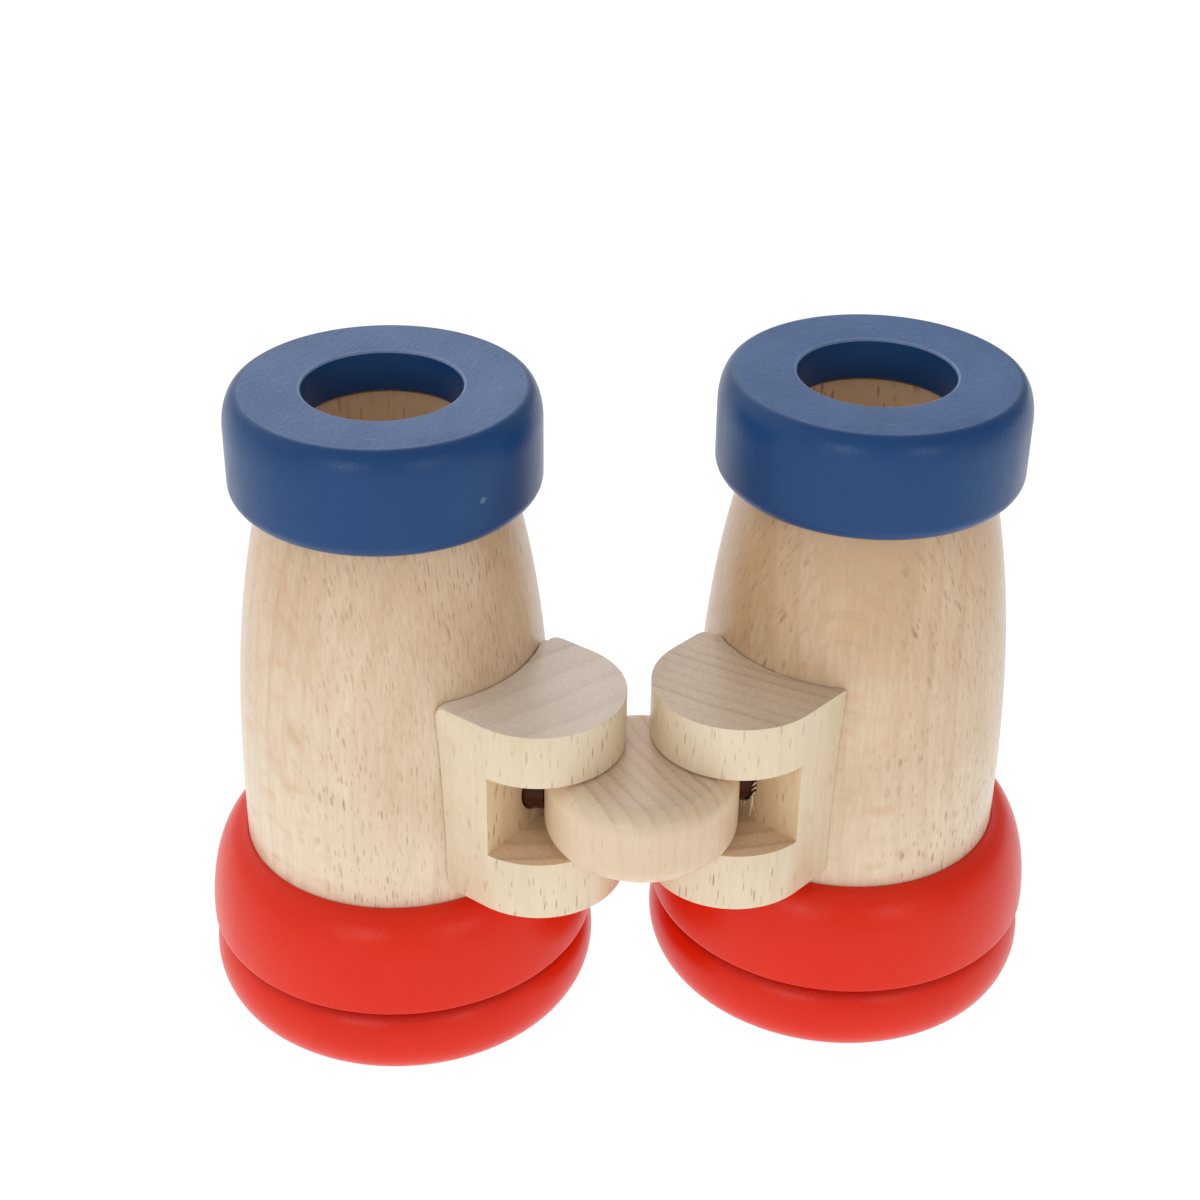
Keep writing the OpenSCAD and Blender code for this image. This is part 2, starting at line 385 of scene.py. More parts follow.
def beech(
        name, centre, pith, rings, flecks, blotches, sides, ends, seed, base=PLAIN_BASE, coat=OILED_COAT):
    """Solid beech with its grain upright.

    The growth rings run round the pith of the tree. The rays run out from it, and show as dark flecks on
    flat sawn sides and as faint blotches on quarter sawn ones.
    """
    wood = Finish(name)
    turn = math.radians(pith.turn)
    heart = Vector(centre).xy.to_3d() + pith.away * Vector((math.cos(turn), math.sin(turn), 0))
    x, y, z = wood.parts(wood.millimetres(heart))
    sway = wood.swing((x, y, z), SWAY, (seed, 0, 0))
    drift = wood.swing((x, y, z), DRIFT, (seed, 0, 0))
    radius = wood.off_axis(x, y)
    around = wood.math("ARCTAN2", y, x) * (pith.away / MM) + drift * RAY_DRIFT

    # How far a face looks up, and how far along the growth rings
    toward_x, toward_y, upward = wood.parts(wood.add("TexCoord", output="Normal"))
    end_share = wood.step(wood.absolute(upward), *END_GRAIN)
    rounded = wood.step(wood.absolute(upward), *ROUNDED_EDGE)
    quarter = wood.step(wood.absolute((toward_y * x - toward_x * y) / radius), *QUARTER_SAWN)

    # Growth rings: each darkens slowly to a fine line, then starts pale again
    ring_at = (radius + z * rings.lean + sway * RING_SWAY) / (rings.gap / MM) + seed * RING_SHIFT
    ring_line = wood.add("ValToRGB", {"stops": RING_STOPS}, {0: wood.math("FRACT", ring_at)})
    ring_number = wood.math("FLOOR", ring_at)
    ring_weight = wood.add("TexWhiteNoise", {"noise_dimensions": "1D"}, {"W": ring_number + seed}, "Value")
    ring = ring_line * wood.at_least(FAINTEST_RING, ring_weight)

    # Ray flecks: one short dash in each tall cell, of its own length and strength
    fleck = 0.0
    for number, kind in enumerate(flecks):
        cells = wood.vector(around / kind.width + number * FLECK_SHIFT, z / kind.height, 0.0)
        settings = {"voronoi_dimensions": "2D", "feature": "F1"}
        distance = wood.add("TexVoronoi", settings, {"Vector": cells, "Scale": 1.0})
        luck, strength, _ = wood.parts(distance.beside("Color"))
        reach = kind.reach * wood.at_least(SHORTEST_FLECK, luck)
        dash = wood.step(distance, reach, reach * FLECK_CORE) * wood.at_least(FAINTEST_FLECK, strength)
        fleck = fleck + dash * kind.share
    crowd = wood.step(wood.noise((around, radius, z), CROWD), *FLECK_CROWD)
    fleck = fleck * wood.at_least(LEAST_CROWD, crowd) * (1 - quarter * QUARTER_FADE)
    fleck = wood.clamp(fleck) * (1 - end_share)

    # On quarter faces the rays lie flat and show as faint blotches across the grain
    blotch = wood.step(wood.noise((radius, around, z), BLOTCH, (0, seed, 0)), *BLOTCH_EDGE)
    blotch = blotch * quarter * (1 - end_share)

    # Fibres along the grain, and slow changes of tone
    fibre = wood.swing((around, radius, z), FIBRE)
    cloud = wood.swing((around, radius, z), CLOUD, (seed, 0, 0))
    speckle = wood.swing((x, y, z), SPECKLE)

    # Painted shade: the barrels' tone darkens towards the top
    tone = base.tone + (z - FADE_Z / MM) * base.rise + cloud * CLOUD_TONE + fibre * FIBRE_TONE
    tone = tone + speckle * SPECKLE_TONE + ring * (rings.side_depth + rounded * rings.end_depth)
    side = wood.mix(wood.clamp(tone), sides.pale, sides.dark)
    side = wood.mix(blotch * blotches, side, sides.ray)
    side = wood.mix(fleck * FLECK_DARKNESS, side, sides.fleck)
    end_tone = END_BASE_TONE + cloud * CLOUD_TONE + speckle * END_SPECKLE_TONE + ring * rings.end_depth
    end = wood.mix(wood.clamp(end_tone), ends.pale, ends.dark)
    relief = fibre * FIBRE_RELIEF - fleck * FLECK_RELIEF + speckle * END_RELIEF * end_share
    wood.surface(
        Base_Color=wood.mix(end_share, side, end),
        Roughness=WOOD_ROUGHNESS + (fleck + end_share + fibre) * ROUGHER,
        Coat_Weight=coat - end_share * END_COAT_LOSS,
        Coat_Roughness=COAT_ROUGHNESS,
        Normal=wood.bump(relief, WOOD_RELIEF, WOOD_RELIEF_STRENGTH),
    )
    return wood.material


BARREL_FLECKS = (Fleck(0.8, 5.0, 0.2, 0.8), Fleck(0.6, 3.8, 0.19, 0.7), Fleck(0.7, 4.4, 0.18, 0.6))
BRACKET_FLECKS = (Fleck(0.9, 9.0, 0.14, 1.0), Fleck(0.7, 7.0, 0.14, 0.8), Fleck(1.2, 11.0, 0.1, 0.7))
DISC_FLECKS = (Fleck(0.9, 7.0, 0.13, 0.5),)
BORE_FLECKS = (Fleck(1.2, 9.0, 0.22, 1.0), Fleck(0.8, 5.0, 0.22, 0.6))

# How strongly the blotches show on quarter sawn sides
BARREL_BLOTCHES = 0.5
BORE_BLOTCHES = 0.2
BRACKET_BLOTCHES = 0.15
FAINT_BLOTCHES = 0.1

FLECK_BROWN = rgb(158, 104, 60)
FLECK_PALE = rgb(164, 118, 74)
RAY_PINK = rgb(214, 168, 126)
BARREL_TONES = SideTones(rgb(241, 223, 195), rgb(200, 163, 121), RAY_PINK, FLECK_BROWN)
BRACKET_TONES = SideTones(rgb(236, 220, 191), rgb(216, 192, 154), RAY_PINK, FLECK_PALE)
DISC_TONES = SideTones(rgb(230, 208, 176), rgb(212, 180, 144), RAY_PINK, FLECK_PALE)
SAWN_TONES = SideTones(rgb(232, 207, 170), rgb(206, 172, 128), RAY_PINK, FLECK_BROWN)
BORE_TONES = SideTones(rgb(252, 222, 184), rgb(230, 188, 144), RAY_PINK, FLECK_BROWN)
GREY_END = EndTones(rgb(241, 224, 205), rgb(208, 184, 162))
WARM_END = EndTones(rgb(218, 193, 166), rgb(176, 144, 115))
DISC_END = EndTones(rgb(228, 203, 176), rgb(184, 151, 122))
SAWN_END = EndTones(rgb(234, 204, 168), rgb(184, 144, 110))
BARREL_END = EndTones(rgb(212, 186, 154), rgb(176, 142, 108))

BARREL_BEECH = {
    "left": beech(
        "left barrel beech", BARREL_AXIS["left"], Pith(-61, 110 * MM), Rings(2.6 * MM, 0.05, 0.24, 0.6),
        BARREL_FLECKS, BARREL_BLOTCHES, BARREL_TONES, BARREL_END, seed=1, base=Base(0.46, 0.0155)),
    "right": beech(
        "right barrel beech", BARREL_AXIS["right"], Pith(172, 110 * MM), Rings(3.0 * MM, 0.05, 0.2, 0.6),
        BARREL_FLECKS, BARREL_BLOTCHES, BARREL_TONES, BARREL_END, seed=2, base=Base(0.63, 0.0185)),
}
BORE_BEECH = beech(
    "drilled beech", BARREL_AXIS["left"], Pith(90, 110 * MM), Rings(2.0 * MM, 0.02, 0.3, 0.6),
    BORE_FLECKS, BORE_BLOTCHES, BORE_TONES, BARREL_END, seed=6, base=Base(0.3, 0.0), coat=DRY_COAT)
BRACKET_BEECH = {
    "left": beech(
        "left bracket beech", middle("left_bracket"), Pith(119, 90 * MM), Rings(4.0 * MM, 0.02, 0.3, 0.6),
        BRACKET_FLECKS, BRACKET_BLOTCHES, BRACKET_TONES, GREY_END, seed=3),
    "right": beech(
        "right bracket beech", middle("right_bracket"), Pith(56, 90 * MM), Rings(1.7 * MM, 0.01, 0.25, 0.55),
        BRACKET_FLECKS, BRACKET_BLOTCHES, BRACKET_TONES, WARM_END, seed=4),
}
SAWN_BEECH = beech(
    "sawn beech", DISC_CENTRE, Pith(90, 90 * MM), Rings(2.4 * MM, 0.02, 0.35, 0.7),
    BRACKET_FLECKS, FAINT_BLOTCHES, SAWN_TONES, SAWN_END, seed=7, coat=DRY_COAT)
DISC_BEECH = beech(
    "disc beech", DISC_CENTRE, Pith(24, 60 * MM), Rings(1.55 * MM, 0.03, 0.2, 0.65),
    DISC_FLECKS, FAINT_BLOTCHES, DISC_TONES, DISC_END, seed=5)


# Lacquer

LACQUER_IOR = 1.34
LACQUER_ROUGHNESS = 0.285
RUBBED_ROUGHER = 0.06
RUBBED = (0.45, 0.7)
PRINT_RELIEF = 0.045 * MM
PRINT_STRENGTH = 0.7

# Patterns on x, y and z
PAINT_FIBRE = Grain((1.5, 1.5, 0.14), 2.0)
PRINT_THROUGH = Grain((4.5, 4.5, 0.45), 2.0, 0.6)
PAINT_CLOUD = Grain((0.08, 0.08, 0.08), 2.0)
PAINT_SPECKLE = Grain((2.6, 2.6, 1.56), 3.0, 0.7)
RUB = Grain((0.25, 0.25, 0.12), 2.0)

PAINT_MIDDLE_TONE = 0.5
PAINT_CLOUD_TONE = 1.2
PAINT_FIBRE_TONE = 0.25
PAINT_SPECKLE_TONE = 0.9

# A chip in the paint, in millimetres from its middle
CHIP_PLACE = BARREL_AXIS["left"] + Vector((9.9, -13.6, 69.3)) * MM
CHIP_EDGE = (0.6, 0.15)
CHIP_FLATTER = 1.5
CHIP_EDGE_NOISE = Grain((3.0, 3.0, 3.0), 3.0)
CHIP_RAGGED = 1.1
CHIP_SHARE = 0.5
CHIP_ROUGHER = 0.2
CHIP_GREY = rgb(126, 146, 156)

# Painted shade on the floor of the groove of an objective ring
GROOVE_SHADE_TOP_R = RING_R - 0.5 * MM
GROOVE_SHADE_FLOOR_R = RING_R - GROOVE_DEPTH
GROOVE_SHADE_Z = GROOVE_EDGE_Z - GROOVE_W
GROOVE_SHADE_HALF_H = (1.3, 0.5)
GROOVE_SHADE_SHARE = 0.6


def chip_in_paint(paint, axes):
    """1 where the paint is chipped away."""
    chip_x, chip_y, chip_z = paint.parts(paint.millimetres(CHIP_PLACE))
    spread = paint.vector(chip_x, chip_y, chip_z * CHIP_FLATTER)
    spot = paint.add("VectorMath", {"operation": "LENGTH"}, {0: spread}, "Value")
    return paint.step(spot + paint.swing(axes, CHIP_EDGE_NOISE) * CHIP_RAGGED, *CHIP_EDGE)


def painted_shade_in_groove(paint, axes):
    """1 on the floor of the groove, where its shade is painted."""
    x, y, z = axes
    deep = paint.step(paint.off_axis(x, y), GROOVE_SHADE_TOP_R / MM, GROOVE_SHADE_FLOOR_R / MM)
    return deep * paint.step(paint.absolute(z - GROOVE_SHADE_Z / MM), *GROOVE_SHADE_HALF_H)


def lacquer(name, centre, tones, chipped=False, groove_shade=None):
    """Satin lacquer over turned wood, whose fibres still print through a little."""
    paint = Finish(name)
    axes = paint.parts(paint.millimetres(centre))
    fibre = paint.swing(axes, PAINT_FIBRE)
    cloud = paint.swing(axes, PAINT_CLOUD)
    speckle = paint.swing(axes, PAINT_SPECKLE)
    rub = paint.step(paint.noise(axes, RUB), *RUBBED)
    tone = PAINT_MIDDLE_TONE + cloud * PAINT_CLOUD_TONE + fibre * PAINT_FIBRE_TONE
    tone = paint.clamp(tone + speckle * PAINT_SPECKLE_TONE)
    colour = paint.mix(tone, tones[0], tones[1])
    roughness = LACQUER_ROUGHNESS + rub * RUBBED_ROUGHER
    if chipped:
        bare = chip_in_paint(paint, axes)
        colour = paint.mix(bare * CHIP_SHARE, colour, CHIP_GREY)
        roughness = roughness + bare * CHIP_ROUGHER
    # Painted shade: the groove's floor is darkened towards a deep red
    if groove_shade:
        colour = paint.mix(painted_shade_in_groove(paint, axes) * GROOVE_SHADE_SHARE, colour, groove_shade)
    paint.surface(
        Base_Color=colour,
        Roughness=roughness,
        IOR=LACQUER_IOR,
        Normal=paint.bump(paint.noise(axes, PRINT_THROUGH), PRINT_RELIEF, PRINT_STRENGTH),
    )
    return paint.material


# Sanded tops: patterns on x and y, and one along and across the sanding
SANDED_SPECKLE = Grain((3.0, 3.0, 0.0), 4.0, 0.75)
SANDED_CLOUD = Grain((0.12, 0.12, 0.0), 1.0)
SANDED_LINES = Grain((0.45, 3.6, 0.0), 3.0, 0.65)
SANDED_SPECKLE_TONE = 2.0
SANDED_LINE_TONE = 1.3
SANDED_CLOUD_TONE = 0.8
SANDED_ROUGHNESS = 0.62
SANDED_ROUGHNESS_SWING = 0.25
SANDED_SPECKLE_RELIEF = 0.6
SANDED_RELIEF = 0.03 * MM
SANDED_RELIEF_STRENGTH = 0.6

# Scratches: turn, distance from the middle, start and stop, in radians and millimetres
SCRATCHES = ((1.05, 3.6, 8.2, 12.6), (0.85, 9.4, -7.0, -2.2), (-0.4, -12.1, 2.0, 6.0))
SCRATCH_EDGE = (0.09, 0.02)
SCRATCH_TAPER = 1.0
SCRATCH_TONE = 0.5
SCRATCH_RELIEF = 0.5

# The rim of the eye hole: rubbed smoother, and painted paler as a highlight
RIM_WEAR_AND_HIGHLIGHT = ((EYE_HOLE_R + 1.2 * EYE_HOLE_ROUND) / MM, (EYE_HOLE_R + 0.6 * EYE_HOLE_ROUND) / MM)
RIM_HIGHLIGHT_SHARE = 0.25
WORN_SMOOTHER = 0.25


def sanded_lacquer(name, centre, tones, sanding_turn):
    """The flat end of a lacquered ring: matt, with sanded grain and a few fine scratches showing."""
    paint = Finish(name)
    x, y, _ = paint.parts(paint.millimetres(centre))

    def turned_by(turn):
        return x * math.cos(turn) + y * math.sin(turn), y * math.cos(turn) - x * math.sin(turn)

    speckle = paint.swing((x, y, 0.0), SANDED_SPECKLE)
    lines = paint.swing((*turned_by(sanding_turn), 0.0), SANDED_LINES)
    cloud = paint.swing((x, y, 0.0), SANDED_CLOUD)
    scratch = 0.0
    for turn, offset, start, stop in SCRATCHES:
        run, off = turned_by(turn)
        line = paint.step(paint.absolute(off - offset), *SCRATCH_EDGE)
        line = line * paint.step(run, start, start + SCRATCH_TAPER)
        scratch = scratch + line * paint.step(run, stop, stop - SCRATCH_TAPER)
    tone = PAINT_MIDDLE_TONE + speckle * SANDED_SPECKLE_TONE + lines * SANDED_LINE_TONE
    tone = paint.clamp(tone + cloud * SANDED_CLOUD_TONE + scratch * SCRATCH_TONE)
    rim_wear_and_highlight = paint.step(paint.off_axis(x, y), *RIM_WEAR_AND_HIGHLIGHT)
    relief = speckle * SANDED_SPECKLE_RELIEF + lines - scratch * SCRATCH_RELIEF
    # The rim of the eye hole gets a painted highlight in its colour, and less roughness from rubbing
    paint.surface(
        Base_Color=paint.mix(rim_wear_and_highlight * RIM_HIGHLIGHT_SHARE, paint.mix(tone, tones[0], tones[1]), BLUE_RIM_HIGHLIGHT),
        Roughness=SANDED_ROUGHNESS + speckle * SANDED_ROUGHNESS_SWING - rim_wear_and_highlight * WORN_SMOOTHER,
        Normal=paint.bump(relief, SANDED_RELIEF, SANDED_RELIEF_STRENGTH),
    )
    return paint.material


BLUE_TONES = (rgb(21, 62, 112), rgb(28, 71, 122))
# The pale blue of the painted highlight on the eye hole's rim
BLUE_RIM_HIGHLIGHT = rgb(164, 180, 208)
RED_TONES = (rgb(225, 35, 6), rgb(233, 45, 9))
# The deep red painted as shade on the groove's floor
RED_GROOVE_SHADE = rgb(150, 12, 8)
# Tones of the sanded tops: paler than the lacquer, partly from the sanded finish and partly from painted
# sheen
SANDED_BLUE_AND_SHEEN_TONES = {
    "left": (rgb(64, 92, 137), rgb(102, 128, 174)),
    "right": (rgb(44, 78, 128), rgb(82, 115, 165)),
}
SANDING_TURN = {"left": 0.9, "right": 0.2}
BLUE = {
    "left": lacquer("left blue lacquer", BARREL_AXIS["left"], BLUE_TONES, chipped=True),
    "right": lacquer("right blue lacquer", BARREL_AXIS["right"], BLUE_TONES),
}
BLUE_TOP = {
    side: sanded_lacquer(
        f"{side} sanded blue lacquer", BARREL_AXIS[side], SANDED_BLUE_AND_SHEEN_TONES[side], SANDING_TURN[side])
    for side in SIDES
}
RED = {side: lacquer(f"{side} red lacquer", BARREL_AXIS[side], RED_TONES, groove_shade=RED_GROOVE_SHADE) for side in SIDES}


# Elastic and torn fibres

ELASTIC_CLOUD = Grain((0.8, 0.8, 0.8), 2.0)
ELASTIC_TONES = (rgb(48, 24, 12), rgb(80, 43, 23))
ELASTIC_ROUGHNESS = 0.14
ELASTIC_ROUGHNESS_SWING = 0.12
ELASTIC_IOR = 1.22
TORN_STREAK = Grain((3.0, 3.0, 0.6), 2.0)
TORN_TONES = (rgb(250, 238, 214), rgb(226, 202, 166))
TORN_ROUGHNESS = 0.5
TORN_ROUGHNESS_SWING = 0.2


def elastic(name):
    """Glossy dark brown rubber cord."""
    rubber = Finish(name)
    cloud = rubber.noise(rubber.parts(rubber.millimetres(DISC_CENTRE)), ELASTIC_CLOUD)
    rubber.surface(
        Base_Color=rubber.mix(cloud, *ELASTIC_TONES),
        Roughness=ELASTIC_ROUGHNESS + cloud * ELASTIC_ROUGHNESS_SWING,
        IOR=ELASTIC_IOR,
    )
    return rubber.material


def torn_wood(name):
    """Pale fibres of freshly torn beech."""
    fibres = Finish(name)
    streak = fibres.noise(fibres.parts(fibres.millimetres(DISC_CENTRE)), TORN_STREAK)
    fibres.surface(
        Base_Color=fibres.mix(streak, *TORN_TONES),
        Roughness=TORN_ROUGHNESS + streak * TORN_ROUGHNESS_SWING,
    )
    return fibres.material


ELASTIC = elastic("brown elastic")
TORN_WOOD = torn_wood("torn fibres")


# Making pieces

def arc(centre, radii, start, stop, steps):
    """Points of a stretch of an ellipse, between two angles in degrees."""
    points = []
    for i in range(steps + 1):
        a = math.radians(start + (stop - start) * i / steps)
        points.append((centre[0] + radii[0] * math.cos(a), centre[1] + radii[1] * math.sin(a)))
    return points


def only(kind, geom):
    """The members of one kind among the results of a mesh operator."""
    return [item for item in geom if isinstance(item, kind)]


def from_axis(point, side):
    """How far a point lies from the axis of a barrel."""
    return (point - BARREL_AXIS[side]).xy.length


def round_off(bm, geom, affect, width, segments):
    """Rounds edges, or the outline's corners."""
    bmesh.ops.bevel(
        bm, geom=geom, offset=width, offset_type="OFFSET", affect=affect, segments=segments,
        profile=0.5, material=-1, clamp_overlap=True)


def ease_edges(bm, width, segments=EASED_SEGMENTS, wanted=None):
    """Rounds the outer edges that are sharper than the shading can smooth."""
    sharp = [
        e for e in bm.edges
        if len(e.link_faces) == 2 and e.is_convex and e.calc_face_angle() > SHARP_ANGLE
        and (wanted is None or wanted(e))
    ]
    round_off(bm, sharp, "EDGES", width, segments)


def make_piece(name, bm, body, slot, materials, *nodes):
    """A finished piece: smooth but for its sharp edges, riding on a body in the place of CAD nodes."""
    for face in bm.faces:
        face.smooth = True
    for edge in bm.edges:
        edge.smooth = len(edge.link_faces) == 2 and edge.calc_face_angle() < SHARP_ANGLE
    mesh = bpy.data.meshes.new(name)
    bm.to_mesh(mesh)
    bm.free()
    for material in materials:
        mesh.materials.append(material)
    piece = bpy.data.objects.new(name, mesh)
    bpy.context.scene.collection.objects.link(piece)
    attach(piece, body)
    if nodes:
        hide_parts(*nodes)


def turned(outline, axis):
    """A bmesh turned on a lathe from a closed outline of (radius, height) points."""
    bm = bmesh.new()
    rim = [bm.verts.new((radius, 0, height)) for radius, height in outline]
    for first, second in zip(rim, rim[1:] + rim[:1]):
        bm.edges.new((first, second))
    bmesh.ops.spin(
        bm, geom=bm.verts[:] + bm.edges[:], cent=(0, 0, 0), axis=(0, 0, 1), dvec=(0, 0, 0),
        angle=FULL_TURN, steps=LATHE_STEPS, use_merge=True)
    bmesh.ops.remove_doubles(bm, verts=bm.verts[:], dist=WELD)
    bmesh.ops.recalc_face_normals(bm, faces=bm.faces[:])
    bmesh.ops.translate(bm, verts=bm.verts[:], vec=axis)
    return bm


def cad_copy(node):
    """A copy of a CAD node's mesh, with its loose triangles joined."""
    bm = bmesh.new()
    bm.from_mesh(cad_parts[node].data)
    bmesh.ops.remove_doubles(bm, verts=bm.verts[:], dist=WELD)
    return bm


# Barrels and rings

def barrel_r_at(z):
    """Radius of the outside of a barrel at a height."""
    share = min(1.0, max(0.0, (z - SHOULDER_TOP) / (BARREL_TOP - SHOULDER_TOP)))
    return BARREL_BASE_R - (BARREL_BASE_R - BARREL_NECK_R) * share ** BARREL_DRAW_POWER


def make_barrel(side):
    """A barrel with its foot, its drawn in neck, its tenon and its bore."""
    rise = (BARREL_TOP - SHOULDER_TOP) / BARREL_WALL_STEPS
    heights = [SHOULDER_TOP + rise * i for i in range(BARREL_WALL_STEPS + 1)]
    tenon_top = EYE_TOP - EYE_LIP - TENON_GAP
    outline = [(SIGHT_BORE_R, LEDGE_Z), (BARREL_BASE_R, LEDGE_Z)]
    outline += [(barrel_r_at(z), z) for z in heights]
    outline += [(TENON_R, BARREL_TOP), (TENON_R, tenon_top), (SIGHT_BORE_R, tenon_top)]
    bm = turned(outline, BARREL_AXIS[side])
    ease_edges(bm, TURNED_ARRIS)
    for face in bm.faces:
        drilled = from_axis(face.calc_center_median(), side) < SIGHT_BORE_R + NEAR
        face.material_index = int(drilled)
    make_piece(
        f"{side}_turned_barrel", bm, f"{side}_half", "barrel_beech", [BARREL_BEECH[side], BORE_BEECH],
        f"{side}_barrel")


def make_eyepiece(side):
    """A blue ring with a lip over the tenon, and its flat top sanded."""
    flat_r = EYE_R - EYE_TOP_ROUND[0]
    low_centre = (EYE_R - EYE_LOW_ROUND, BARREL_TOP + EYE_LOW_ROUND)
    socket_top = EYE_TOP - EYE_LIP
    outline = [(EYE_HOLE_R, EYE_TOP)]
    outline += arc((flat_r, EYE_TOP - EYE_TOP_ROUND[1]), EYE_TOP_ROUND, 90, 0, EYE_ROUND_STEPS)
    outline += arc(low_centre, (EYE_LOW_ROUND,) * 2, 0, -90, EYE_ROUND_STEPS)
    outline += [(TENON_R, BARREL_TOP), (TENON_R, socket_top), (EYE_HOLE_R, socket_top)]
    bm = turned(outline, BARREL_AXIS[side])

    def hole_edge(edge):
        return all(
            v.co.z > EYE_TOP - NEAR and from_axis(v.co, side) < EYE_HOLE_R + NEAR for v in edge.verts)

    ease_edges(bm, EYE_HOLE_ROUND, EYE_HOLE_SEGMENTS, hole_edge)
    ease_edges(bm, TURNED_ARRIS)
    for face in bm.faces:
        centre = face.calc_center_median()
        on_top = face.normal.z > FACING_UP and centre.z > EYE_TOP - EYE_HOLE_ROUND
        face.material_index = int(on_top and from_axis(centre, side) < flat_r)
    make_piece(
        f"{side}_blue_eyepiece", bm, f"{side}_half", "blue_lacquer", [BLUE[side], BLUE_TOP[side]],
        f"{side}_eyepiece_ring")


def make_objective(side):
    """A red ring: a round shoulder, a groove and a bead under it."""
    groove_floor_r = RING_R - GROOVE_DEPTH
    bead_core_r = RING_R - BEAD_TUCK
    bead_top = math.degrees(math.acos((groove_floor_r - bead_core_r) / BEAD_TUCK))
    bead_half = (GROOVE_EDGE_Z - GROOVE_W) / (1 + math.sin(math.radians(bead_top)))
    shoulder_r = BARREL_BASE_R + SHOULDER_LAND
    shoulder_round = (RING_R - shoulder_r, SHOULDER_TOP - GROOVE_EDGE_Z)
    outline = [(FRONT_HOLE_R, 0.0)]
    outline += arc((bead_core_r, bead_half), (BEAD_TUCK, bead_half), -90, bead_top, BEAD_STEPS)
    outline += [(groove_floor_r, GROOVE_EDGE_Z)]
    outline += arc((shoulder_r, GROOVE_EDGE_Z), shoulder_round, 0, 90, SHOULDER_STEPS)
    outline += [(BARREL_BASE_R, SHOULDER_TOP), (BARREL_BASE_R, LEDGE_Z), (FRONT_HOLE_R, LEDGE_Z)]
    bm = turned(outline, BARREL_AXIS[side])

    def groove_edge(edge):
        return all(
            abs(v.co.z - GROOVE_EDGE_Z) < NEAR and from_axis(v.co, side) > RING_R - NEAR for v in edge.verts)

    ease_edges(bm, GROOVE_ROUND, GROOVE_SEGMENTS, groove_edge)
    ease_edges(bm, TURNED_ARRIS)
    make_piece(
        f"{side}_red_objective", bm, f"{side}_half", "red_lacquer", [RED[side]], f"{side}_objective_ring")


# Brackets, in a frame whose +X runs from the barrel's axis to the nose

SLOT_FLOOR_Z = BRACKET_LOW.z + LOWER_LUG
SLOT_ROOF_Z = BRACKET_HIGH.z - UPPER_LUG
SEAT_R = barrel_r_at(SLOT_FLOOR_Z + (DISC_HIGH.z - DISC_LOW.z) / 2)
SLOT_BACK = SEAT_R + BRACKET_WEB
NOSE_R = BRACKET_W / 2
NOSE_X = SLOT_BACK + SLOT_DEPTH - NOSE_R
KNOT_X = SEAT_R - KNOT_R
SAWN = 1


def half_place(side):
    """The matrix from the frame of a bracket to the toy's."""
    left = Matrix.Translation(BARREL_AXIS["left"]) @ Matrix.Rotation(-BRACKET_TURN, 4, "Z")
    return left if side == "left" else Matrix.Scale(-1, 4, (1, 0, 0)) @ left


def place_half(bm, side):
    """Moves a mesh from the frame of a bracket to its side of the toy."""
    bmesh.ops.transform(bm, matrix=half_place(side), verts=bm.verts[:])
    if side == "right":
        bmesh.ops.reverse_faces(bm, faces=bm.faces[:])


def across_cord(x):
    """The matrix that stands a circle across the cord, at a distance from the barrel's axis."""
    return Matrix.Translation((x, -CORD_OFFSET, CORD_Z)) @ Matrix.Rotation(QUARTER_TURN, 4, "Y")


def bracket_block():
    """The bracket's outline in plan, seated on the barrel, as a full block with a half round nose."""
    bm = bmesh.new()
    seat_turn = math.asin(NOSE_R / SEAT_R)
    base = BRACKET_LOW.z
    seat = bm.verts.new((SEAT_R * math.cos(seat_turn), -NOSE_R, base))
    nose = bm.verts.new((NOSE_X, -NOSE_R, base))
    rounds = (
        (seat, (0, 0, 0), 2 * seat_turn, SEAT_STEPS),
        (nose, (NOSE_X, 0, 0), math.pi, NOSE_STEPS),
    )
    ends = []
    for start, centre, turn, steps in rounds:
        made = bmesh.ops.spin(
            bm, geom=[start], cent=centre, axis=(0, 0, 1), dvec=(0, 0, 0), angle=turn, steps=steps)
        ends.append(made["geom_last"][0])
    bm.edges.new((seat, nose))
    bm.edges.new(ends)
    bmesh.ops.contextual_create(bm, geom=bm.edges[:])
    round_off(bm, [ends[0]], "VERTICES", TIP_ROUND, TIP_SEGMENTS)
    top = bmesh.ops.extrude_face_region(bm, geom=bm.faces[:])["geom"]
    bmesh.ops.translate(bm, verts=only(BMVert, top), vec=(0, 0, BRACKET_HIGH.z - base))
    bmesh.ops.recalc_face_normals(bm, faces=bm.faces[:])
    return bm


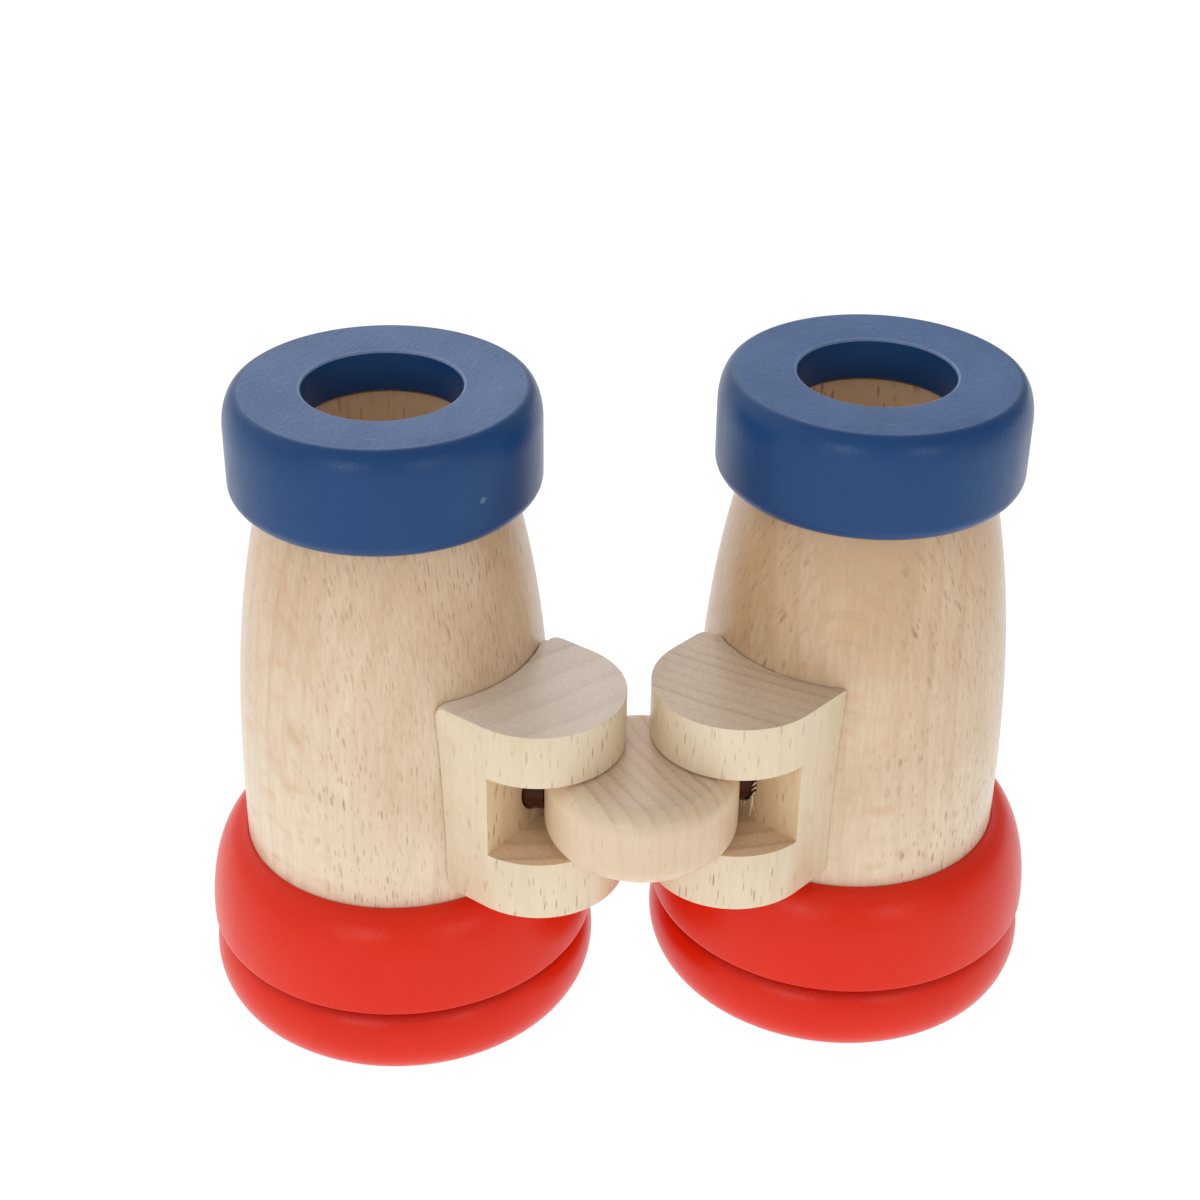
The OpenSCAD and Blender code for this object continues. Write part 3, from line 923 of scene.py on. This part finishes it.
def cut_slot(bm):
    """Cuts the slot for the disc through the nose, and the cord's hole in its back."""
    cuts = (
        ((0, 0, SLOT_FLOOR_Z), (0, 0, 1)),
        ((0, 0, SLOT_ROOF_Z), (0, 0, 1)),
        ((SLOT_BACK, 0, 0), (1, 0, 0)),
    )
    for point, normal in cuts:
        geom = bm.verts[:] + bm.edges[:] + bm.faces[:]
        bmesh.ops.bisect_plane(bm, geom=geom, dist=CUT_NEAR, plane_co=point, plane_no=normal)
    gone = []
    for face in bm.faces:
        centre = face.calc_center_median()
        if centre.x > SLOT_BACK and SLOT_FLOOR_Z < centre.z < SLOT_ROOF_Z:
            gone.append(face)
    bmesh.ops.delete(bm, geom=gone, context="FACES")

    def at_height(vert, height):
        return abs(vert.co.z - height) < NEAR

    # The sawn floor and roof, then the sawn back with the hole in it
    for height in (SLOT_FLOOR_Z, SLOT_ROOF_Z):
        corners = [
            v for v in bm.verts
            if at_height(v, height) and abs(v.co.x - SLOT_BACK) < NEAR and v.is_boundary
        ]
        across = bm.edges.new(corners)
        lip = [e for e in bm.edges if e.is_boundary and all(at_height(v, height) for v in e.verts)]
        for face in bmesh.ops.contextual_create(bm, geom=lip + [across])["faces"]:
            face.material_index = SAWN
    back = [e for e in bm.edges if e.is_boundary]
    ring = bmesh.ops.create_circle(
        bm, cap_ends=False, radius=CORD_HOLE_R, segments=CORD_HOLE_SIDES, matrix=across_cord(SLOT_BACK))
    hole = list({e for v in ring["verts"] for e in v.link_edges})
    filled = bmesh.ops.triangle_fill(bm, use_beauty=True, use_dissolve=False, edges=back + hole)["geom"]
    for face in only(BMFace, filled):
        face.material_index = SAWN
    bmesh.ops.recalc_face_normals(bm, faces=bm.faces[:])
    inner = bmesh.ops.extrude_edge_only(bm, edges=hole)["geom"]
    bmesh.ops.translate(bm, verts=only(BMVert, inner), vec=(SEAT_R - SLOT_BACK, 0, 0))
    bmesh.ops.contextual_create(bm, geom=[e for e in only(BMEdge, inner) if e.is_boundary])


def fit_to_barrel(bm):
    """Bends the seat to the barrel's own taper."""
    for vert in bm.verts:
        if vert.co.xy.length < SEAT_R + NEAR:
            reach = barrel_r_at(vert.co.z) + SEAT_GAP
            vert.co.x = math.sqrt(reach ** 2 - vert.co.y ** 2)


def make_bracket(side):
    """A bracket with its slot, its seat and the corners that sanding rounded."""
    bm = bracket_block()
    cut_slot(bm)
    fit_to_barrel(bm)
    wedge = [
        v for v in bm.verts
        if abs(v.co.y + NOSE_R) < NEAR and v.co.x < SEAT_R
        and min(abs(v.co.z - BRACKET_LOW.z), abs(v.co.z - BRACKET_HIGH.z)) < NEAR
    ]
    round_off(bm, wedge, "VERTICES", WEDGE_ROUND[side], WEDGE_SEGMENTS)
    bmesh.ops.recalc_face_normals(bm, faces=bm.faces[:])
    ease_edges(bm, EASED)
    place_half(bm, side)
    make_piece(
        f"{side}_hinge_bracket", bm, f"{side}_half", "bracket_beech", [BRACKET_BEECH[side], SAWN_BEECH],
        f"{side}_bracket")


def make_torn_fibres():
    """Pale fibres that the drill tore at the edge of the right bracket's hole."""
    bm = bmesh.new()
    for place, length, lean in SHREDS:
        a = math.radians(place)
        forward = CORD_OFFSET + CORD_HOLE_R * math.sin(a)
        root = Vector((SLOT_BACK + SHRED_R, -forward, CORD_Z + CORD_HOLE_R * math.cos(a)))
        run = Vector((SHRED_OUTWARD, -lean, -1.0)).normalized()
        turn = run.to_track_quat("Z", "Y").to_matrix().to_4x4()
        bmesh.ops.create_cone(
            bm, cap_ends=True, segments=SHRED_SIDES, radius1=SHRED_R, radius2=SHRED_TIP_R, depth=length,
            matrix=Matrix.Translation(root + run * length / 2) @ turn)
    bmesh.ops.recalc_face_normals(bm, faces=bm.faces[:])
    place_half(bm, "right")
    make_piece("right_torn_fibres", bm, "right_half", "bracket_beech", [TORN_WOOD])


# Elastic

def reach_disc(bm, tip):
    """Moves a cord's tip along its run, and draws the rest back, until they all but touch the disc's rim."""
    run = Vector((math.cos(BRACKET_TURN), math.sin(BRACKET_TURN), 0))
    centre = half_place("left").inverted() @ DISC_CENTRE
    stop = DISC_R + CORD_RIM_GAP
    for vert in bm.verts:
        away = (centre - vert.co).xy.to_3d()
        if vert in tip or away.length < stop:
            ahead = away.dot(run)
            aside = away.length_squared - ahead ** 2
            vert.co += run * (ahead - math.sqrt(stop ** 2 - aside))
    bmesh.ops.remove_doubles(bm, verts=bm.verts[:], dist=WELD)


def make_cord_end(side):
    """Half of the elastic: from its knot in the barrel through the web, then turned towards the disc."""
    bm = bmesh.new()
    bend_x = SLOT_BACK - CORD_BEND_R * math.tan(BRACKET_TURN / 2)
    bmesh.ops.create_circle(
        bm, cap_ends=True, radius=CORD_R, segments=CORD_SIDES, matrix=across_cord(KNOT_X))
    straight = bmesh.ops.extrude_edge_only(bm, edges=bm.edges[:])["geom"]
    bmesh.ops.translate(bm, verts=only(BMVert, straight), vec=(bend_x - KNOT_X, 0, 0))
    rim = [e for e in only(BMEdge, straight) if e.is_boundary]
    bend = bmesh.ops.spin(
        bm, geom=rim, cent=(bend_x, CORD_BEND_R - CORD_OFFSET, CORD_Z), axis=(0, 0, 1),
        dvec=(0, 0, 0), angle=BRACKET_TURN, steps=CORD_BEND_STEPS)["geom_last"]
    last = bmesh.ops.extrude_edge_only(bm, edges=only(BMEdge, bend))["geom"]
    reach_disc(bm, set(only(BMVert, last)))
    knot = Matrix.Translation((KNOT_X, -CORD_OFFSET, CORD_Z))
    bmesh.ops.create_icosphere(bm, subdivisions=KNOT_SUBDIVISIONS, radius=KNOT_R, matrix=knot)
    bmesh.ops.recalc_face_normals(bm, faces=bm.faces[:])
    place_half(bm, side)
    make_piece(f"{side}_elastic", bm, f"{side}_half", "elastic", [ELASTIC], f"{side}_cord_end")


# Studio

CAMERA_PLACE = Vector((-21.747, -196.802, 169.463)) * MM
CAMERA_YAW = 0.0932
CAMERA_PITCH = 0.5402
CAMERA_ROLL = 0.0141
CAMERA_LENS = 63.0
CAMERA_SENSOR = 36.0
CAMERA_CLIP = 0.01

# Light of the white tent by the side it comes from, anticlockwise: near the floor, higher up, overhead
LOW_LIGHT = {
    "right": 0.3, "back right": 0.45, "back": 1.08, "back left": 0.85, "left": 0.82, "front left": 0.72,
    "front": 0.57, "front right": 0.64,
}
HIGH_LIGHT = {
    "right": 0.3, "back right": 0.52, "back": 1.95, "back left": 1.1, "left": 1.0, "front left": 0.62,
    "front": 0.47, "front right": 0.52,
}
OVERHEAD_LIGHT = 0.64

# The rise at which the higher light takes over from the lower, and the overhead light from both
HIGHER_UP = (0.2, 0.55)
OVERHEAD = (0.7, 0.95)
NOT_ZERO = 0.0001

FLOOR_SIZE = 3.0
PAPER = (0.9, 0.9, 0.9, 1.0)
WHITE = (1.0, 1.0, 1.0, 1.0)

# The floor's light on the toy and its white to the camera, each with its share of the surface
FLOOR_GLOW = 1.6
FLOOR_GLOW_SHARE = 0.5
FLOOR_WHITE = 1.05
FLOOR_WHITE_SHARE = 0.9

# Soft boxes: azimuth from the camera's own side in degrees, and power
SOFT_BOXES = {"left soft box": (-30, 0.185), "right soft box": (28, 0.12)}
SOFT_BOX_RISE = math.radians(19)
SOFT_BOX_AWAY = 0.45
SOFT_BOX_SIZE = 0.13


def make_camera():
    data = bpy.data.cameras.new("camera")
    data.lens = CAMERA_LENS
    data.sensor_width = CAMERA_SENSOR
    data.clip_start = CAMERA_CLIP
    camera = bpy.data.objects.new("camera", data)
    look = Euler((QUARTER_TURN - CAMERA_PITCH, 0, -CAMERA_YAW)).to_matrix().to_4x4()
    camera.matrix_world = Matrix.Translation(CAMERA_PLACE) @ look @ Matrix.Rotation(CAMERA_ROLL, 4, "Z")
    bpy.context.scene.collection.objects.link(camera)
    bpy.context.scene.camera = camera


def white_paper():
    """White paper that lights the toy from below, and looks plain white to the camera, mirrors and glass."""
    paper = Finish("white paper")
    camera_ray = paper.add("LightPath", output="Is Camera Ray")
    glossy_ray = camera_ray.beside("Is Glossy Ray")
    seen = paper.clamp(camera_ray + glossy_ray + camera_ray.beside("Is Transmission Ray"))
    plain = paper.add("BsdfDiffuse", None, {"Color": PAPER})
    glow = paper.add("Emission", None, {"Color": WHITE, "Strength": FLOOR_GLOW})
    white = paper.add("Emission", None, {"Color": WHITE, "Strength": FLOOR_WHITE})
    unseen = paper.add("MixShader", None, {0: FLOOR_GLOW_SHARE, 1: plain, 2: glow})
    shown = paper.add("MixShader", None, {0: seen * FLOOR_WHITE_SHARE, 1: unseen, 2: white})
    paper.feed(paper.tree.nodes["Material Output"].inputs["Surface"], shown)
    return paper.material


def make_floor():
    bm = bmesh.new()
    bmesh.ops.create_grid(bm, x_segments=1, y_segments=1, size=FLOOR_SIZE)
    mesh = bpy.data.meshes.new("floor")
    bm.to_mesh(mesh)
    bm.free()
    mesh.materials.append(white_paper())
    floor = bpy.data.objects.new("floor", mesh)
    bpy.context.scene.collection.objects.link(floor)


def make_world():
    """A white tent, lit to its own level on each side."""
    world = bpy.data.worlds.new("white tent")
    world.use_nodes = True
    tent = NodeBench(world.node_tree)
    x, y, z = tent.parts(tent.add("TexCoord", output="Generated"))

    # The two nearest sides share each direction, by the squared cosine and sine of twice the angle
    level_way = x * x + y * y + NOT_ZERO
    twice_along = (x * x - y * y) / level_way
    twice_across = x * y * 2 / level_way
    low = 0.0
    high = 0.0
    for number, way in enumerate(LOW_LIGHT):
        turn = number * FULL_TURN / len(LOW_LIGHT)
        near = tent.squared_above_zero(twice_along * math.cos(2 * turn) + twice_across * math.sin(2 * turn))
        ahead = tent.math("GREATER_THAN", x * math.cos(turn) + y * math.sin(turn), 0.0)
        low = low + near * ahead * LOW_LIGHT[way]
        high = high + near * ahead * HIGH_LIGHT[way]
    raised = tent.step(z, *HIGHER_UP)
    overhead = tent.step(z, *OVERHEAD)
    light = (low * (1 - raised) + high * raised) * (1 - overhead) + OVERHEAD_LIGHT * overhead
    camera_ray = tent.add("LightPath", output="Is Camera Ray")
    background = tent.tree.nodes["Background"]
    tent.feed(background.inputs["Color"], WHITE)
    tent.feed(background.inputs["Strength"], camera_ray + (1 - camera_ray) * light)
    bpy.context.scene.world = world


def make_soft_box(name, azimuth, power):
    """A round lamp that faces the toy."""
    data = bpy.data.lights.new(name, "AREA")
    data.shape = "DISK"
    data.size = SOFT_BOX_SIZE
    data.energy = power
    lamp = bpy.data.objects.new(name, data)
    turn = math.radians(azimuth)
    level = math.cos(SOFT_BOX_RISE)
    back = Vector((math.sin(turn) * level, -math.cos(turn) * level, math.sin(SOFT_BOX_RISE)))
    lamp.location = DISC_CENTRE + back * SOFT_BOX_AWAY
    lamp.rotation_euler = back.to_track_quat("Z", "Y").to_euler()
    bpy.context.scene.collection.objects.link(lamp)


make_camera()
for side in SIDES:
    make_barrel(side)
    make_eyepiece(side)
    make_objective(side)
    make_bracket(side)
    make_cord_end(side)
make_piece("bridge_disc", cad_copy("hinge_disc"), "bridge", "disc_beech", [DISC_BEECH], "hinge_disc")
make_piece("bridge_elastic", cad_copy("cord_middle"), "bridge", "elastic", [ELASTIC], "cord_middle")
make_torn_fibres()
make_floor()
make_world()
for name, (azimuth, power) in SOFT_BOXES.items():
    make_soft_box(name, azimuth, power)
bpy.context.scene.view_settings.view_transform = "Standard"
